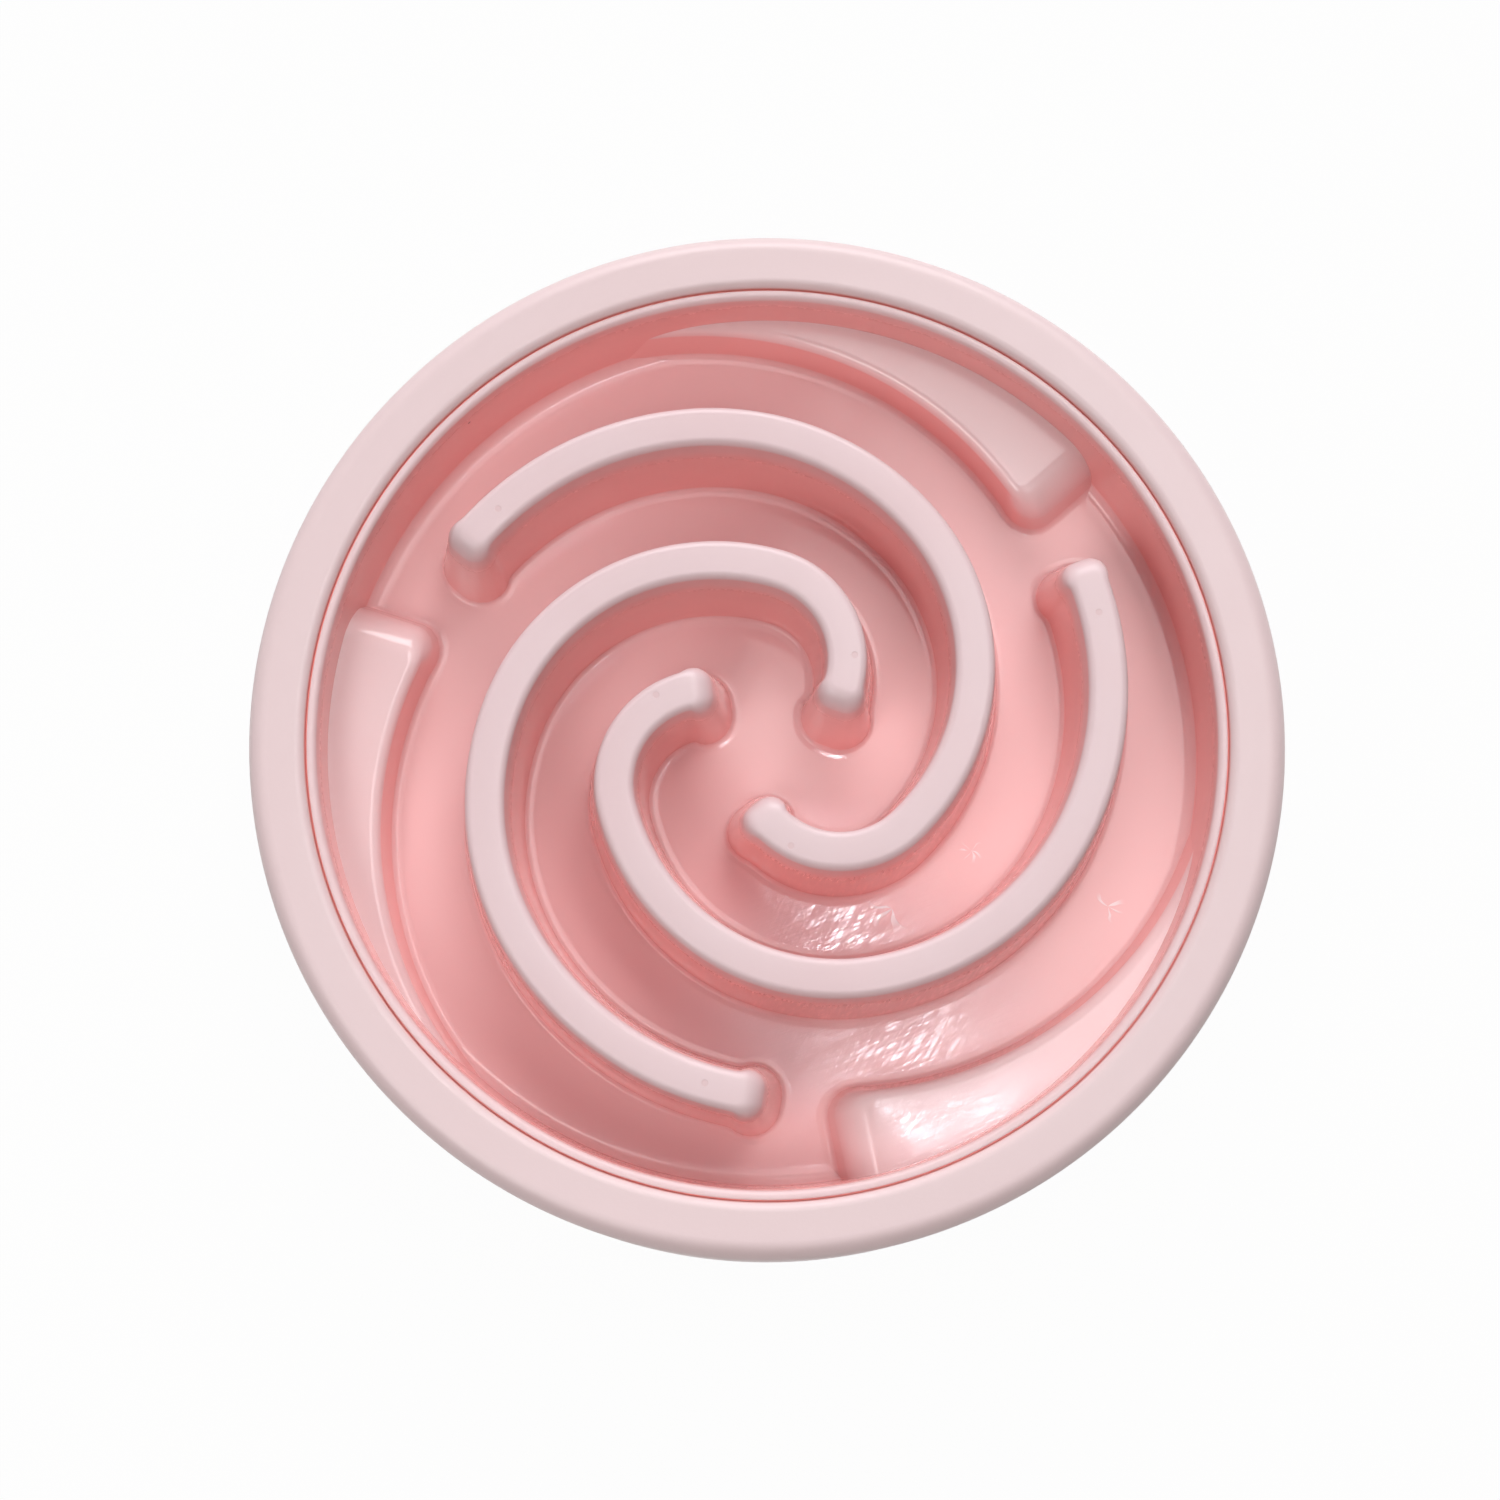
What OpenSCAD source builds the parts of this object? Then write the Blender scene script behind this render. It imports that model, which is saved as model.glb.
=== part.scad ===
// Slow feeder bowl: a round stand, a lift-out maze insert and four rubber feet.
// Lengths are in millimetres and angles in degrees. The origin is on the table, under the
// middle of the bowl. +Z is up and +Y points away from the side that the user stands at.

/* [Bowl] */
// Outer diameter across the rim
bowl_d = 200; // [160:1:250]
// Height of the rim's flat top above the table
rim_h = 44; // [38:1:60]

/* [Stand] */
// Width of the rim, from the seam round the insert to the outer edge
rim_w = 10.9; // [9:0.1:16]
// Radius of the rim's outer shoulder
shoulder_r = 3.2; // [1:0.1:4]
// Radius of the rim's inner edge
rim_edge_r = 1.4; // [0.4:0.1:2]
// Wall thickness of the stand
stand_t = 2.4; // [1.6:0.1:3]
// How much further out the skirt stands at its lower edge than at the shoulder
skirt_flare = 0.6; // [0:0.1:3]
// Gap between the skirt's lower edge and the table
skirt_gap = 1.2; // [0.5:0.1:2]

/* [Feet] */
// Diameter of a foot's pad and of the boss above it
pad_d = 16; // [12:0.5:20]
// Thickness of a foot's pad
pad_t = 2.8; // [2.2:0.1:4]
// Bevel round the lower edge of a pad
pad_bevel = 0.8; // [0.2:0.1:1.2]
// Diameter of the plug that holds a foot in its boss
plug_d = 8; // [5:0.5:10]
// Gap round a plug in its bore, and above it
plug_gap = 0.1; // [0.05:0.05:0.3]
// How far a boss stands inside the wall of the stand's well
boss_inset = 6; // [3:0.5:15]

/* [Insert] */
// Gap between the insert and the stand, which shows as the seam
seam_gap = 0.35; // [0.2:0.05:0.8]
// Depth of the insert's lip below the rim's flat top
lip_drop = 1.2; // [0:0.1:3]
// Thickness of the insert's wall
insert_t = 1.8; // [1.2:0.1:2.4]
// Rounding of the lip's inner edge
lip_r = 0.8; // [0.2:0.1:1.2]
// Depth of the maze floor below the lip
maze_depth = 23; // [18:0.5:28]
// Thickness of the maze floor
floor_t = 2.2; // [1.4:0.1:3]
// Lean of the insert's wall from upright
wall_draft = 3.5; // [1:0.5:8]
// Radius of the hollow corner between the floor and the wall
floor_r = 5; // [2:0.5:8]

/* [Ridges] */
// Number of spiral ridges
arms = 3; // [1:1:3]
// Width of a ridge across its top
ridge_w = 7.4; // [5.5:0.1:9]
// Height of the ridges' tops above the lip
ridge_rise = 3.7; // [0:0.1:6]
// Lean of a ridge's sides from upright
ridge_draft = 5; // [2:0.5:7]
// Lean of a ridge's end faces from upright
ridge_end_draft = 14; // [5:1:20]
// Rounding of a ridge's top edges
ridge_edge_r = 1.6; // [0.4:0.1:2]
// Radius of the hollow corner at a ridge's foot
ridge_foot_r = 4; // [1.5:0.5:5]
// Thickness of the skin over a ridge's hollow underside
ridge_skin = 1.8; // [1.2:0.1:2]
// Straight length that closes a ridge's outer end
outer_end_l = 2.4; // [2:0.1:6]
// Straight length that closes a ridge's inner end
inner_end_l = 2.4; // [2:0.1:4]

/* [Shelves] */
// Height of a shelf above the maze floor
shelf_h = 11; // [7:0.5:15]
// Lean of a shelf's curved side from upright
shelf_draft = 8; // [2:1:12]
// Lean of a shelf's blunt end from upright
shelf_end_draft = 28; // [10:1:35]
// Rounding of a shelf's top edges
shelf_edge_r = 2; // [0.5:0.1:3]
// Radius of the hollow corner at a shelf's foot
shelf_foot_r = 3; // [1:0.5:4]
// Thickness of the skin over a shelf's hollow underside
shelf_skin = 2; // [1.4:0.1:2.6]

/* [Hidden] */
$fn = 96;
shell_pink = "#F3D3D3";
maze_pink = "#EFC4C6";
foot_grey = "#4A4748";
// Straight steps in each rounded corner of the round outlines, and of the ridges and shelves
corner_steps = 6;
form_steps = 3;
// Overrun of a cut past the face that it opens
overrun = 1;
// How far a foot curve runs on below the floor, so that the two meet at an angle
sink = 0.08;
// Each further piece of a ridge is a hair slimmer and lower than the one that it runs on
// from, and starts a short way inside it
joint_step = 0.05;
joint_lap = 0.4;

// Radii at the height of the lip
rim_r = bowl_d / 2;
seam_r = rim_r - rim_w;
insert_r = seam_r - seam_gap;
maze_r = insert_r - insert_t;

// Heights, from the lip down to the underside of the stand's floor
lip_z = rim_h - lip_drop;
ridge_z = lip_z + ridge_rise;
floor_z = lip_z - maze_depth;
shelf_z = floor_z + shelf_h;
seat_z = floor_z - floor_t;
under_z = seat_z - stand_t;
mid_floor_z = seat_z + floor_t / 2;

// Feet
foot_count = 4;
foot_turn = 360 / foot_count;
plug_share = 0.6;
plug_l = (under_z - pad_t) * plug_share;
foot_place = seam_r - lean_in(seat_z) - boss_inset - pad_d / 2;

// Each ridge is a chain of arcs that turn the same way and run on from one another.
// It starts at its outer end, and its arcs tighten towards the middle.
arc_radius_shares = [0.707, 0.61, 0.5, 0.213];
arc_turns = [47, 54, 86, 96];
last_arc = len(arc_turns) - 1;
start_share = 0.794;
start_angle = 27;
start_lean = 6;
start_heading = start_angle - 90 - start_lean;

// A shelf lies between the wall and an arc round a centre of its own. The centre's place
// is taken along and across the shelf's blunt end.
shelf_arc_share = 0.863;
shelf_centre_shares = [-0.047, 0.176];
shelf_angle = 41.7;
shelf_arc_r = maze_r * shelf_arc_share;
shelf_centre = maze_r * shelf_centre_shares;

// How far the leaning walls have come in at a height, counted from the lip
function lean_in(height) = (lip_z - height) * tan(wall_draft);

function unit(v) = v / norm(v);
function flat(p) = [p.x, p.y];

// The arc that rounds the corner at one point of an outline
function corner(before, at, after, radius, steps) =
    let (
        u = unit(before - at),
        v = unit(after - at),
        half = acos(u * v) / 2,
        centre = at + unit(u + v) * radius / sin(half),
        from = at + u * radius / tan(half) - centre,
        to = at + v * radius / tan(half) - centre,
        side = sign(from.x * to.y - from.y * to.x),
        turn = (180 - 2 * half) * side / steps,
        start = atan2(from.y, from.x)
    )
    [for (k = [0:steps]) centre + radius * [cos(start + k * turn), sin(start + k * turn)]];

// An outline whose points are [x, y, radius of the corner]
function rounded(points, steps) =
    let (n = len(points))
    [
        for (k = [0:n - 1])
            let (before = flat(points[(k + n - 1) % n]), at = flat(points[k]), after = flat(points[(k + 1) % n]))
            each points[k][2] > 0 ? corner(before, at, after, points[k][2], steps) : [at]
    ];

// The free side of a raised form, from its top edge down into the floor. The side would
// meet the top at reach. The hollow below a form is a skin's thickness inside it.
function side_points(reach, top, lean, edge_r, foot_r, skin) =
    skin == 0
        ? let (low = floor_z - sink, foot = reach + (top - low) * tan(lean), far = foot + foot_r)
            [[reach, top, edge_r], [foot, low, foot_r], [far, low, 0], [far, mid_floor_z, 0]]
        : let (low = seat_z - overrun, inner = reach - skin / cos(lean))
            [[inner + skin * tan(lean), top - skin, 0], [inner + (top - low) * tan(lean), low, 0]];

function mirrored(points) = [for (k = [len(points) - 1:-1:0]) [-points[k].x, points[k].y, points[k][2]]];

// The chain of arcs of a ridge
function turned(k) = k == 0 ? 0 : turned(k - 1) + arc_turns[k - 1];
function heading(k) = start_heading - turned(k);
function inward(k) = [cos(heading(k) - 90), sin(heading(k) - 90)];
function arc_r(k) = maze_r * arc_radius_shares[k];
function arc_centre(k) =
    k == 0
        ? maze_r * start_share * [cos(start_angle), sin(start_angle)] + arc_r(0) * inward(0)
        : arc_centre(k - 1) + (arc_r(k) - arc_r(k - 1)) * inward(k);

module ridge_section(skin, slim) {
    reach = ridge_w / 2 - slim;
    side = side_points(reach, ridge_z - slim, ridge_draft, ridge_edge_r, ridge_foot_r, skin);
    polygon(rounded(concat(mirrored(side), side), form_steps));
}

module ridge_arc(k, skin) {
    translate(arc_centre(k))
        rotate([0, 0, heading(k + 1) + 90])
            rotate_extrude(angle = arc_turns[k] + (k == 0 ? 0 : asin(joint_lap / arc_r(k))))
                translate([arc_r(k), 0])
                    ridge_section(skin, k * joint_step);
}

// The end of a ridge, which runs from x = 0 along +X
module ridge_end(length, skin, slim) {
    top = ridge_z - slim;
    side = side_points(length, top, ridge_end_draft, ridge_edge_r, ridge_foot_r, skin);
    last = side[len(side) - 1];
    intersection() {
        rotate([90, 0, 90])
            translate([0, 0, -joint_lap])
                linear_extrude(height = joint_lap + last.x + overrun)
                    ridge_section(skin, slim);
        rotate([90, 0, 0])
            linear_extrude(height = maze_r, center = true)
                polygon(rounded(
                    concat([[-overrun, last.y, 0], [-overrun, side[0].y, 0]], side),
                    form_steps
                ));
    }
}

module ridge(skin) {
    for (k = [0:last_arc])
        ridge_arc(k, skin);
    translate(arc_centre(0) - arc_r(0) * inward(0))
        rotate([0, 0, heading(0) + 180])
            ridge_end(outer_end_l, skin, joint_step);
    translate(arc_centre(last_arc) - arc_r(last_arc) * inward(last_arc + 1))
        rotate([0, 0, heading(last_arc + 1)])
            ridge_end(inner_end_l, skin, len(arc_turns) * joint_step);
}

// A disc that fills the insert between two heights, out to a depth in its wall. Its lower
// edge is rounded, so that it stays within the corner between the floor and the wall.
module fill_disc(low, high, into_wall, edge_r) {
    edge = maze_r + into_wall;
    low_edge = [edge - lean_in(low), low, edge_r];
    high_edge = [edge - lean_in(high), high, 0];
    rotate_extrude()
        polygon(rounded([[0, low, 0], low_edge, high_edge, [0, high, 0]], corner_steps));
}

// The space over and beside a shelf, which its curved side bounds
module shelf_space(skin) {
    side = side_points(0, shelf_z, shelf_draft, shelf_edge_r, shelf_foot_r, skin);
    last = side[len(side) - 1];
    top = side[0].y;
    outline = concat(
        [[0, last.y - overrun, 0], [shelf_arc_r - last.x, last.y - overrun, 0]],
        [for (p = mirrored(side)) [shelf_arc_r + p.x, p.y, p[2]]],
        [[bowl_d, top, 0], [bowl_d, lip_z, 0], [0, lip_z, 0]]
    );
    translate(shelf_centre)
        rotate_extrude()
            polygon(rounded(outline, form_steps));
}

module shelf(skin) {
    end = side_points(0, shelf_z, shelf_end_draft, shelf_edge_r, shelf_foot_r, skin);
    last = end[len(end) - 1];
    intersection() {
        difference() {
            if (skin == 0)
                fill_disc(last.y, shelf_z, insert_t / 2, floor_r + floor_t / 2);
            else
                fill_disc(last.y, shelf_z, 0, 0);
            shelf_space(skin);
        }
        rotate([90, 0, 90])
            linear_extrude(height = rim_r)
                polygon(rounded(
                    concat([[rim_r, last.y, 0], [rim_r, end[0].y, 0]], [for (p = end) [-p.x, p.y, p[2]]]),
                    form_steps
                ));
    }
}

module each_arm() {
    for (k = [0:arms - 1])
        rotate([0, 0, k * 360 / arms])
            children();
}

// The insert's floor, wall and lip
module pan() {
    rotate_extrude()
        polygon(rounded([
            [0, seat_z, 0],
            [insert_r - lean_in(seat_z), seat_z, floor_r + floor_t],
            [insert_r, lip_z, 0],
            [maze_r, lip_z, lip_r],
            [maze_r - lean_in(floor_z), floor_z, floor_r],
            [0, floor_z, 0]
        ], corner_steps));
}

module maze_insert() {
    color(maze_pink)
        difference() {
            union() {
                pan();
                each_arm() {
                    ridge(0);
                    rotate([0, 0, shelf_angle])
                        shelf(0);
                }
            }
            each_arm() {
                ridge(ridge_skin);
                rotate([0, 0, shelf_angle])
                    shelf(shelf_skin);
            }
        }
}

module each_foot() {
    for (k = [1:foot_count])
        foot_at(k)
            children();
}

module foot_at(k) {
    rotate([0, 0, (k - 1 / 2) * foot_turn])
        translate([foot_place, 0, 0])
            children();
}

// The stand's rim, skirt, well wall and floor, in one section
module stand_shell() {
    foot_r = rim_r + skirt_flare;
    well_r = seam_r - lean_in(seat_z);
    rotate_extrude()
        polygon(rounded([
            [0, seat_z, 0],
            [well_r, seat_z, floor_r],
            [seam_r - lean_in(rim_h), rim_h, rim_edge_r],
            [rim_r, rim_h, shoulder_r],
            [foot_r, skirt_gap, stand_t / 3],
            [foot_r - stand_t, skirt_gap, stand_t / 3],
            [rim_r - stand_t, rim_h - stand_t, stand_t / 2],
            [seam_r + stand_t - lean_in(rim_h), rim_h - stand_t, stand_t / 2],
            [well_r + stand_t, under_z, floor_r + stand_t],
            [0, under_z, 0]
        ], corner_steps));
}

module outer_bowl() {
    color(shell_pink)
        difference() {
            union() {
                stand_shell();
                each_foot()
                    translate([0, 0, pad_t])
                        cylinder(h = under_z + stand_t / 2 - pad_t, d = pad_d);
            }
            each_foot()
                translate([0, 0, pad_t - overrun])
                    cylinder(h = overrun + plug_l + plug_gap, d = plug_d + 2 * plug_gap);
        }
}

module foot(k) {
    color(foot_grey)
        foot_at(k)
            rotate_extrude()
                polygon([
                    [0, 0],
                    [pad_d / 2 - pad_bevel, 0],
                    [pad_d / 2, pad_bevel],
                    [pad_d / 2, pad_t],
                    [plug_d / 2, pad_t],
                    [plug_d / 2, pad_t + plug_l],
                    [0, pad_t + plug_l]
                ]);
}

outer_bowl();
maze_insert();
for (k = [1:foot_count])
    foot(k);
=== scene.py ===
"""Looks of the slow feeder bowl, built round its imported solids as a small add-on.

The stand, the maze insert and the feet each have their own sizes, and one operator builds each
piece. Lengths are in metres. +Z is up, and +Y points away from the side that the camera is on.
"""

import math

import bmesh
import bpy
from bpy.props import FloatProperty, FloatVectorProperty, IntProperty, PointerProperty
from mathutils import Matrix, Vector


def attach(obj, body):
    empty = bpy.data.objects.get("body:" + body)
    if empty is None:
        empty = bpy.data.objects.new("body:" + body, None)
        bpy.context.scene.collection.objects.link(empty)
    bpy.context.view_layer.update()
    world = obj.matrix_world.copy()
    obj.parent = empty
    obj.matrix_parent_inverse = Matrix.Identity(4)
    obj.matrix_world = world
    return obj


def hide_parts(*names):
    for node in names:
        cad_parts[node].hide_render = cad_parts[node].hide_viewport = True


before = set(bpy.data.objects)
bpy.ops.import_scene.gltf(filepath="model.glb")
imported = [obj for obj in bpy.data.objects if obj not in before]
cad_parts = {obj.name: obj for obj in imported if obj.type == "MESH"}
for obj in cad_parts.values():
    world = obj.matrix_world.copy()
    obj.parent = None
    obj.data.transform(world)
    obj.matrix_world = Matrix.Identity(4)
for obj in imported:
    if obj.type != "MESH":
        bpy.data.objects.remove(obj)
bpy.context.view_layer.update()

bl_info = {
    "name": "Slow Feeder Bowl",
    "version": (1, 0, 0),
    "blender": (4, 5, 0),
    "location": "View3D > Sidebar > Feeder Bowl",
    "description": "Builds a round slow feeder bowl with a lift-out spiral maze",
    "category": "Add Mesh",
}

MM = 0.001
# Edges that turn by more than this stay sharp in the shading
SHARP_ANGLE = math.radians(38)
# How near two points must be to count as one
WELD = 0.0005 * MM


def length(description, millimetres):
    default = millimetres * MM
    return FloatProperty(description=description, default=default, min=0, unit="LENGTH", subtype="DISTANCE")


def angle(description, degrees):
    default = math.radians(degrees)
    return FloatProperty(description=description, default=default, unit="ROTATION", subtype="ANGLE")


def share(description, value):
    return FloatProperty(description=description, default=value, subtype="FACTOR", soft_min=-1, soft_max=1)


def count(description, value):
    return IntProperty(description=description, default=value, min=1)


def colour(description, *rgb):
    return FloatVectorProperty(
        description=description, default=(*rgb, 1), size=4, min=0, max=1, subtype="COLOR"
    )


class StandSizes(bpy.types.PropertyGroup):
    """The stand: its rim, skirt, well and bosses."""

    rim_radius: length("Outer radius of the rim", 100)
    rim_height: length("Height of the rim's top above the table", 44)
    rim_width: length("From the seam to the rim's outer edge", 10.9)
    shoulder: length("Radius of the rim's outer shoulder", 3.6)
    inner_edge: length("Radius of the rim's inner edge", 1.9)
    wall: length("Thickness of the stand's walls", 2.4)
    flare: length("How far out the skirt's lower edge spreads", 0.6)
    skirt_gap: length("Gap between the skirt and the table", 1.2)
    corner: length("Radius of the well's corner", 5)
    boss_radius: length("Outer radius of the boss over a foot", 8)
    bore_radius: length("Radius of the bore that takes a foot's plug", 4.1)
    segments: count("Faces round the bowl", 256)


class InsertSizes(bpy.types.PropertyGroup):
    """The maze insert: its pan, ridges and shelves."""

    seam_gap: length("Gap between the insert and the stand", 0.35)
    groove: length("Depth of the gap's wide upper part", 0.6)
    snug_gap: length("Gap between the two below the groove", 0.08)
    lip_drop: length("Depth of the lip below the rim's flat top", 1.2)
    wall: length("Thickness of the insert's wall", 1.8)
    lip_edge: length("Rounding of the lip's inner edge", 1.2)
    depth: length("Depth of the maze floor below the lip", 23)
    floor: length("Thickness of the maze floor", 2.2)
    draft: angle("Lean of the wall from upright", 3.5)
    corner: length("Inner radius between floor and wall", 2.4)
    outer_corner: length("Outer radius between floor and wall", 7.2)
    cove_tilt: angle("How steeply the floor rises before a form", 4)
    cove_width: length("Width of the rising strip of floor", 0.8)
    cove_curve: length("Radius where the floor starts to rise", 16)
    arms: count("Number of spiral ridges, and of shelves", 3)
    sink: length("How far a foot curve ends below the floor", 0.012)
    edge_steps: count("Faces across each rounded edge", 8)
    foot_steps: count("Faces across each foot curve", 14)


class RidgeSizes(bpy.types.PropertyGroup):
    """The spiral ridges of the maze."""

    width: length("Width across a ridge's top", 7.4)
    rise: length("Height of a ridge's top above the lip", 3.7)
    draft: angle("Lean of a ridge's sides from upright", 5)
    end_draft: angle("Lean of a ridge's end faces from upright", 9)
    edge: length("Rounding of a ridge's top edges", 1.6)
    end_edge: length("Rounding of the top edge at a ridge's ends", 3.8)
    foot: length("Radius of the hollow corner at a ridge's foot", 1)
    skin: length("Thickness of the skin over the hollow underside", 1.8)
    end_length: length("How far the flat top runs on past the spiral's ends", 0.9)
    corner: length("Rounding of the top's corners, seen from above", 1.1)
    step: length("Distance between the points along a ridge", 1.1)
    start_share: share("The spiral's start, as a share of the pan's radius", 0.794)
    start_angle: angle("Angle of the spiral's start round the bowl", 27)
    start_lean: angle("How far its first heading leans inwards", 6)


class ShelfSizes(bpy.types.PropertyGroup):
    """The shelves against the wall."""

    height: length("Height of a shelf above the maze floor", 11)
    draft: angle("Lean of a shelf's curved side from upright", 8)
    end_draft: angle("Lean of a shelf's blunt end from upright", 17)
    edge: length("Rounding of a shelf's top edges", 2.2)
    end_edge: length("Rounding of the top edge at a shelf's blunt end", 6)
    foot: length("Radius of the hollow corner at a shelf's foot", 1.2)
    skin: length("Thickness of the skin over the hollow underside", 2)
    corner: length("Rounding of the blunt end's corner, seen from above", 1.4)
    step: length("Distance between the points along a shelf", 1.6)
    arc_share: share("Radius of a shelf's side, as a share of the pan's", 0.863)
    centre_along: share("Its centre along the blunt end, as such a share", -0.047)
    centre_across: share("Its centre across the blunt end, as such a share", 0.176)
    turn: angle("Angle of the first blunt end round the bowl", 41.7)


class FootSizes(bpy.types.PropertyGroup):
    """The rubber feet."""

    radius: length("Radius of a foot's pad", 8)
    thickness: length("Thickness of a foot's pad", 2.8)
    bevel: length("Rounding of a pad's lower edge", 0.8)
    plug: length("Radius of the plug that holds a foot", 4)
    plug_share: share("Length of the plug, as a share of the room for it", 0.6)
    inset: length("How far a boss stands inside the wall of the well", 6)
    ring_pitch: length("Distance between the grip rings under a pad", 1.6)
    ring_depth: length("Depth of the grip rings", 0.25)
    segments: count("Faces round a foot", 72)
    number: count("How many feet there are", 4)


class FinishSettings(bpy.types.PropertyGroup):
    """The colours and the gloss of the pieces. The insert's colours are lit and shaded copies of one pink,
    which paint its light and shade.
    """

    stand_colour: colour("Base colour of the stand", 0.85, 0.665, 0.67)
    # Painted light and shade: the tops, shelves and floor are lighter and deeper copies of one pink, paler
    # high up and deeper pink low in the channels
    top_colour: colour("Base colour of the ridges' tops", 0.83, 0.635, 0.65)
    shelf_colour: colour("Base colour of the shelves' tops", 0.865, 0.635, 0.64)
    floor_colour: colour("Base colour of the maze floor", 0.915, 0.57, 0.57)
    # Painted shade on the steep sides: a deeper pink
    side_colour: colour("Base colour of the maze's steep sides", 0.95, 0.45, 0.43)
    # Painted shade in the gap between the parts: a strong red
    seam_colour: colour("Base colour of the walls in the gap", 0.9, 0.3, 0.26)
    rubber_colour: colour("Base colour of the feet", 0.05, 0.047, 0.047)
    stand_roughness: share("Roughness of the stand's satin surface", 0.38)
    top_roughness: share("Roughness of the ridges' tops", 0.34)
    floor_roughness: share("Roughness of the glossy maze floor", 0.09)
    rubber_roughness: share("Roughness of the feet", 0.75)


class StageSettings(bpy.types.PropertyGroup):
    """The camera, the lights and the floor."""

    tilt: angle("Tilt of the camera from straight down", 9)
    distance: length("Distance from the camera to the lip's plane", 590)
    view_width: length("What the picture shows across at the lip's plane", 288.6)
    aim: FloatVectorProperty(
        description="Where the view's middle meets the lip's plane",
        default=(-3.3 * MM, -3 * MM),
        size=2,
        unit="LENGTH",
        subtype="TRANSLATION",
    )
    floor_radius: length("Radius of the pale floor", 3000)
    floor_white: share("How far the floor looks plain white", 0.97)


def sizes():
    """The property groups on the scene, by short names."""
    scene = bpy.context.scene
    return scene.bowl_stand, scene.bowl_insert, scene.bowl_ridges, scene.bowl_shelves


class Levels:
    """Radii at the lip's height, and heights above the table, that follow from the sizes."""

    def __init__(self):
        stand, insert, ridges, shelves = sizes()
        self.seam_r = stand.rim_radius - stand.rim_width
        self.insert_r = self.seam_r - insert.seam_gap
        self.maze_r = self.insert_r - insert.wall
        self.rim_z = stand.rim_height
        self.lip_z = self.rim_z - insert.lip_drop
        self.ridge_z = self.lip_z + ridges.rise
        self.floor_z = self.lip_z - insert.depth
        self.shelf_z = self.floor_z + shelves.height
        self.seat_z = self.floor_z - insert.floor
        self.under_z = self.seat_z - stand.wall
        self.mid_floor_z = self.seat_z + insert.floor / 2
        self.slope = math.tan(insert.draft)

    def wall(self, radius, height):
        """The radius at a height of a leaning wall that has a given one at the lip."""
        return radius - (self.lip_z - height) * self.slope


def direction(turn):
    return Vector((math.cos(turn), math.sin(turn)))


def corner_points(before, at, after, radius, steps):
    """The arc that rounds the corner at one point of an outline."""
    u = (before - at).normalized()
    v = (after - at).normalized()
    half = u.angle(v) / 2
    centre = at + (u + v).normalized() * (radius / math.sin(half))
    first = at + u * (radius / math.tan(half)) - centre
    last = at + v * (radius / math.tan(half)) - centre
    turn = (math.pi - 2 * half) * math.copysign(1, first.cross(last)) / steps
    start = math.atan2(first.y, first.x)
    return [centre + radius * direction(start + k * turn) for k in range(steps + 1)]


def rounded(*points, closed=False, hold=0.12 * MM):
    """An outline from its corners, each (x, y) or, to round it, (x, y, radius, steps).

    Each arc has a holding point a little way out on either side, which keeps the shading of flat
    faces even.
    """
    flat = [Vector(p[:2]) for p in points]
    last = len(points) - 1
    groups = []
    for k, (at, (_, _, *arc)) in enumerate(zip(flat, points)):
        if arc and (closed or 0 < k < last):
            groups.append(corner_points(flat[k - 1], at, flat[(k + 1) % len(flat)], *arc))
        else:
            groups.append([at])
    line = []
    for k, group in enumerate(groups):
        line += group
        if k == last and not closed:
            break
        following = groups[(k + 1) % len(groups)]
        gap = following[0] - group[-1]
        if gap.length > 3 * hold:
            step = gap.normalized() * hold
            line += [group[-1] + step] if len(group) > 1 else []
            line += [following[0] - step] if len(following) > 1 else []
    return line


# Faces across the rounded edges of turned forms
WIDE_STEPS = 12
MIDDLE_STEPS = 10
SMALL_STEPS = 6
PAD_STEPS = 5
LIP_STEPS = 4
FINE_STEPS = 3
# Roundings of three small edges
BORE_EDGE = 0.3 * MM
BOSS_EDGE = 0.5 * MM
LIP_OUTER_EDGE = 0.3 * MM


def lathe(profile, segments, centre):
    """Vertices and faces of a profile turned about an upright axis. It starts and ends on it."""
    vertices = []
    rows = []
    turns = [2 * math.pi * n / segments for n in range(segments)]
    for k, (radius, height) in enumerate(profile):
        if k in (0, len(profile) - 1):
            rows.append([len(vertices)] * segments)
            vertices.append((*centre, height))
            continue
        rows.append(range(len(vertices), len(vertices) + segments))
        for turn in turns:
            x, y = radius * math.cos(turn), radius * math.sin(turn)
            vertices.append((centre[0] + x, centre[1] + y, height))
    faces = []
    for low, high in zip(rows, rows[1:]):
        for n in range(segments):
            following = (n + 1) % segments
            ring = [low[n], low[following], high[following], high[n]]
            faces.append(list(dict.fromkeys(ring)))
    return vertices, faces


def outward(mesh):
    """Turns a closed mesh's faces outwards."""
    form = bmesh.new()
    form.from_mesh(mesh)
    bmesh.ops.recalc_face_normals(form, faces=form.faces)
    form.to_mesh(mesh)
    form.free()


def link_object(name, data):
    made = bpy.data.objects.new(name, data)
    bpy.context.scene.collection.objects.link(made)
    return made


def make_object(name, vertices, faces=()):
    mesh = bpy.data.meshes.new(name)
    mesh.from_pydata(vertices, [], faces)
    mesh.update()
    return link_object(name, mesh)


def turned(name, profile, segments, centre=(0, 0)):
    """A solid of revolution."""
    made = make_object(name, *lathe(profile, segments, centre))
    outward(made.data)
    return made


def plain_mesh(made):
    """Swaps an object's mesh for what its modifiers make of it."""
    graph = bpy.context.evaluated_depsgraph_get()
    made_plain = bpy.data.meshes.new_from_object(made.evaluated_get(graph), depsgraph=graph)
    made.modifiers.clear()
    made.data = made_plain
    made_plain.name = made.name


def combine(made, other, operation):
    """Joins another solid to an object, or cuts it out, and removes it."""
    tool = made.modifiers.new(operation.title(), "BOOLEAN")
    tool.operation = operation
    tool.solver = "EXACT"
    tool.object = other
    plain_mesh(made)
    bpy.data.objects.remove(other)


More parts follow.
